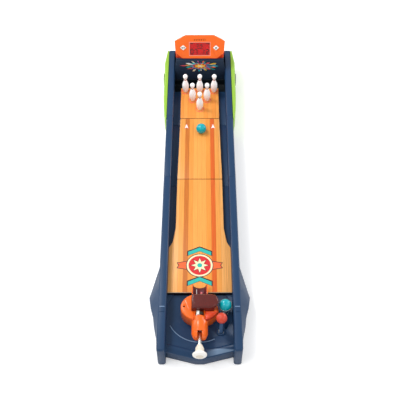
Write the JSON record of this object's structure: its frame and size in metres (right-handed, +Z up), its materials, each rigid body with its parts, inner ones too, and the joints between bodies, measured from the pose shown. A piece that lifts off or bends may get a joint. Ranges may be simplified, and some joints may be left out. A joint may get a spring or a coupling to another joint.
{
  "type": "tabletop bowling game",
  "caption": "Long railed tabletop bowling alley with a swivelling spring-plunger ball launcher, hinged pins, ball pit and an electronic score unit.",
  "frame": {"origin": "middle of the bounding box's bottom, on the table", "axes": "+Y along the lane from the player to the pins, +Z up, +X to the player's right"},
  "size_m": [0.207, 0.886, 0.1545],
  "materials": {
    "navy_plastic": "satin navy moulding",
    "orange_plastic": "satin orange moulding",
    "red_orange_plastic": "satin",
    "red_plastic": "gloss",
    "lime_plastic": "satin",
    "printed_lane": "printed wood pattern under gloss film",
    "white_plastic": "gloss",
    "pale_plastic": "satin",
    "steel": "plain",
    "rubber": "matte",
    "teal_plastic": "gloss",
    "smoky_clear": "tinted clear",
    "clear_plastic": "clear",
    "maroon_plastic": "satin",
    "circuit_board": "solder mask",
    "black_plastic": "matte",
    "display": "red backlit display",
    "display_lens": "clear",
    "cell_jacket": "printed jacket"
  },
  "bodies": {
    "alley": {"front_body": "navy_plastic", "middle_body": "navy_plastic", "rear_body": "navy_plastic", "lane_front": "printed_lane", "lane_middle": "printed_lane", "pin_deck": "printed_lane", "backboard": "navy_plastic", "house_hood": "navy_plastic", "side_panel_left": "lime_plastic", "side_panel_right": "lime_plastic", "hub_cap_left": "black_plastic", "hub_cap_right": "black_plastic", "foot_front_left": "rubber", "foot_front_right": "rubber", "foot_back_left": "rubber", "foot_back_right": "rubber", "pin_axle_front": "steel", "pin_axle_middle": "steel", "pin_axle_back": "steel", "pin_sensor_board": "circuit_board", "ball_cup": "clear_plastic", "lever_bezel": "navy_plastic", "lever_pin": "steel", "score_bezel": "orange_plastic", "score_back_shell": "orange_plastic", "score_lens": "display_lens", "lcd_module": "display", "score_circuit_board": "circuit_board", "buzzer": "black_plastic", "battery_left": "cell_jacket", "battery_right": "cell_jacket", "battery_door": "orange_plastic"},
    "turret": {"turret_housing": "orange_plastic", "turret_side_cap": "red_orange_plastic", "turret_screw": "steel", "launcher_barrel": "orange_plastic", "barrel_end_cap": "orange_plastic", "muzzle_liner": "maroon_plastic", "breech_cover": "smoky_clear", "plunger_spring": "steel"},
    "plunger": {"plunger_knob": "white_plastic", "plunger_collar": "pale_plastic", "plunger_rod": "steel", "striker": "white_plastic"},
    "lever": {"loader_lever": "navy_plastic", "lever_collar": "pale_plastic", "lever_knob": "red_plastic"},
    "lifter": {"ball_lifter": "pale_plastic"},
    "waiting_ball": {"cup_ball": "teal_plastic"},
    "rolling_ball": {"lane_ball": "teal_plastic"},
    "front_pin": {"pin_front": "white_plastic"},
    "middle_left_pin": {"pin_middle_left": "white_plastic"},
    "middle_right_pin": {"pin_middle_right": "white_plastic"},
    "back_left_pin": {"pin_back_left": "white_plastic"},
    "back_centre_pin": {"pin_back_centre": "white_plastic"},
    "back_right_pin": {"pin_back_right": "white_plastic"},
    "one_player_button": {"button_one_player": "white_plastic"},
    "two_players_button": {"button_two_players": "white_plastic"},
    "corner_left_button": {"button_corner_left": "white_plastic"},
    "corner_right_button": {"button_corner_right": "white_plastic"}
  },
  "joints": [
    {"name": "turret_yaw", "type": "hinge", "parent": "alley", "child": "turret", "pos_m": [0, -0.333, 0.03], "axis": [0, 0, 1], "range_deg": [-15, 15]},
    {"name": "plunger_pull", "type": "slide", "parent": "turret", "child": "plunger", "axis": [0, -1, 0], "range_m": [0, 0.025], "stiffness_N_per_m": 150, "deforming": ["plunger_spring"]},
    {"name": "lever_pull", "type": "hinge", "parent": "alley", "child": "lever", "pos_m": [0.0426, -0.379, 0.017], "axis": [1, 0, 0], "range_deg": [0, 10], "stiffness_Nm_per_rad": 0.3},
    {"name": "lifter_rise", "type": "slide", "parent": "alley", "child": "lifter", "axis": [0, 0, 1], "range_m": [0, 0.0085]},
    {"name": "waiting_ball_lift", "type": "slide", "parent": "lifter", "child": "waiting_ball", "axis": [0, 0, 1], "range_m": [0, 0.04]},
    {"name": "ball_roll", "type": "slide", "parent": "alley", "child": "rolling_ball", "axis": [0, 1, 0], "range_m": [-0.39, 0.06]},
    {"name": "front_pin_tip", "type": "hinge", "parent": "alley", "child": "front_pin", "pos_m": [0, 0.2473, 0.0376], "axis": [-1, 0, 0], "range_deg": [0, 55]},
    {"name": "middle_left_pin_tip", "type": "hinge", "parent": "alley", "child": "middle_left_pin", "pos_m": [-0.0185, 0.28005, 0.0376], "axis": [-1, 0, 0], "range_deg": [0, 55]},
    {"name": "middle_right_pin_tip", "type": "hinge", "parent": "alley", "child": "middle_right_pin", "pos_m": [0.0185, 0.28005, 0.0376], "axis": [-1, 0, 0], "range_deg": [0, 55]},
    {"name": "back_left_pin_tip", "type": "hinge", "parent": "alley", "child": "back_left_pin", "pos_m": [-0.037, 0.3128, 0.0376], "axis": [-1, 0, 0], "range_deg": [0, 55]},
    {"name": "back_centre_pin_tip", "type": "hinge", "parent": "alley", "child": "back_centre_pin", "pos_m": [0, 0.3128, 0.0376], "axis": [-1, 0, 0], "range_deg": [0, 55]},
    {"name": "back_right_pin_tip", "type": "hinge", "parent": "alley", "child": "back_right_pin", "pos_m": [0.037, 0.3128, 0.0376], "axis": [-1, 0, 0], "range_deg": [0, 55]},
    {"name": "one_player_press", "type": "slide", "parent": "alley", "child": "one_player_button", "axis": [0, 0.9063, -0.4226], "range_m": [0, 0.0013], "stiffness_N_per_m": 300},
    {"name": "two_players_press", "type": "slide", "parent": "alley", "child": "two_players_button", "axis": [0, 0.9063, -0.4226], "range_m": [0, 0.0013], "stiffness_N_per_m": 300},
    {"name": "corner_left_press", "type": "slide", "parent": "alley", "child": "corner_left_button", "axis": [0.4612, -0.5457, -0.6997], "range_m": [0, 0.0012], "stiffness_N_per_m": 300},
    {"name": "corner_right_press", "type": "slide", "parent": "alley", "child": "corner_right_button", "axis": [-0.4612, -0.5457, -0.6997], "range_m": [0, 0.0012], "stiffness_N_per_m": 300}
  ],
  "couplings": [
    {"joint": "lifter_rise", "follows": "lever_pull", "m_per_rad": 0.0478}
  ]
}
